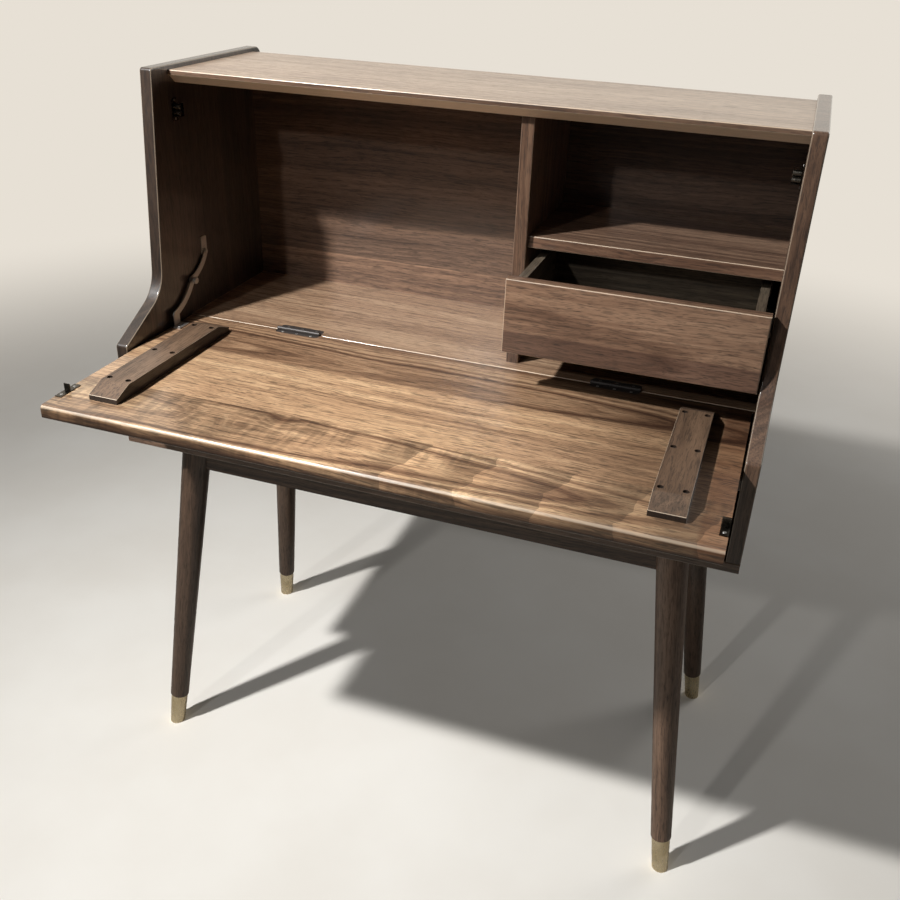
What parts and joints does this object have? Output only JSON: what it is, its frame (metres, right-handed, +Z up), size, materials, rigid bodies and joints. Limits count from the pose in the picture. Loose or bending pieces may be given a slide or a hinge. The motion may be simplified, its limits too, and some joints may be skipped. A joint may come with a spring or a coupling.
{
  "type": "fall-front desk",
  "caption": "Fall-front writing desk on splayed round legs, with a fold-down flap, a divider, a shelf, a drawer and a folding stay.",
  "frame": {"origin": "on the floor under the middle of the desk, with its flap open", "axes": "+Z up, +Y to the back, +X to the right as seen from the front"},
  "size_m": [1, 0.6862, 1.1896],
  "materials": {
    "walnut_case": "satin lacquer, vertical grain",
    "walnut_top": "satin lacquer, grain along the length",
    "walnut_writing": "satin lacquer, figured grain along the length",
    "walnut_drawer": "satin lacquer, grain along the length",
    "walnut_leg": "satin lacquer, grain along the leg",
    "brass": "satin",
    "dark_bronze": "semi-gloss",
    "nickel": "satin"
  },
  "bodies": {
    "case": {"side_panel_left": "walnut_case", "side_panel_right": "walnut_case", "top_board": "walnut_top", "bottom_board": "walnut_case", "ledge_board": "walnut_case", "writing_board": "walnut_writing", "back_panel": "walnut_case", "divider": "walnut_case", "shelf": "walnut_drawer", "front_rail": "walnut_leg", "back_rail": "walnut_leg", "side_rail_left": "walnut_leg", "side_rail_right": "walnut_leg", "leg_front_left": "walnut_leg", "leg_front_right": "walnut_leg", "leg_back_left": "walnut_leg", "leg_back_right": "walnut_leg", "ferrule_front_left": "brass", "ferrule_front_right": "brass", "ferrule_back_left": "brass", "ferrule_back_right": "brass", "hinge_plate_left": "dark_bronze", "hinge_plate_right": "dark_bronze", "hinge_pin_left": "dark_bronze", "hinge_pin_right": "dark_bronze", "slide_rail_left": "nickel", "slide_rail_right": "nickel", "catch_left": "nickel", "catch_right": "nickel", "stay_wall_bracket": "nickel"},
    "flap": {"flap_board": "walnut_writing", "batten_left": "walnut_writing", "batten_right": "walnut_writing", "batten_screws_left": "dark_bronze", "batten_screws_right": "dark_bronze", "hinge_leaf_left": "dark_bronze", "hinge_leaf_right": "dark_bronze", "strike_left": "nickel", "strike_right": "nickel", "stay_flap_bracket": "nickel"},
    "drawer": {"drawer_front": "walnut_drawer", "drawer_side_left": "walnut_drawer", "drawer_side_right": "walnut_drawer", "drawer_back": "walnut_drawer", "drawer_bottom": "walnut_drawer", "slide_runner_left": "nickel", "slide_runner_right": "nickel"},
    "stay_upper": {"stay_upper_arm": "nickel"},
    "stay_lower": {"stay_lower_arm": "nickel"},
    "roller_left_bottom": {"catch_roller_left_bottom": "nickel"},
    "roller_left_top": {"catch_roller_left_top": "nickel"},
    "roller_right_bottom": {"catch_roller_right_bottom": "nickel"},
    "roller_right_top": {"catch_roller_right_top": "nickel"}
  },
  "joints": [
    {"name": "flap_hinge", "type": "hinge", "parent": "case", "child": "flap", "pos_m": [0, 0.0507, 0.783], "axis": [-1, 0, 0], "range_deg": [0, 90]},
    {"name": "drawer_slide", "type": "slide", "parent": "case", "child": "drawer", "axis": [0, -1, 0], "range_m": [-0.1125, 0]},
    {"name": "stay_wall_pivot", "type": "hinge", "parent": "case", "child": "stay_upper", "pos_m": [-0.4757, 0.1051, 0.878], "axis": [1, 0, 0], "range_deg": [0, 88.5]},
    {"name": "stay_flap_pivot", "type": "hinge", "parent": "flap", "child": "stay_lower", "pos_m": [-0.4732, -0.0059, 0.8], "axis": [1, 0, 0], "range_deg": [0, 44.4]},
    {"name": "roller_left_bottom_spin", "type": "hinge", "parent": "case", "child": "roller_left_bottom", "pos_m": [-0.4715, 0.0561, 1.1178], "axis": [1, 0, 0], "continuous": true},
    {"name": "roller_left_top_spin", "type": "hinge", "parent": "case", "child": "roller_left_top", "pos_m": [-0.4715, 0.0561, 1.1272], "axis": [1, 0, 0], "continuous": true},
    {"name": "roller_right_bottom_spin", "type": "hinge", "parent": "case", "child": "roller_right_bottom", "pos_m": [0.4715, 0.0561, 1.1178], "axis": [1, 0, 0], "continuous": true},
    {"name": "roller_right_top_spin", "type": "hinge", "parent": "case", "child": "roller_right_top", "pos_m": [0.4715, 0.0561, 1.1272], "axis": [1, 0, 0], "continuous": true}
  ],
  "couplings": [
    {"joint": "drawer_slide", "follows": "flap_hinge", "m_per_rad": -0.07161},
    {"joint": "stay_wall_pivot", "follows": "flap_hinge", "ratio": 0.98231},
    {"joint": "stay_flap_pivot", "follows": "flap_hinge", "ratio": 0.49247}
  ]
}
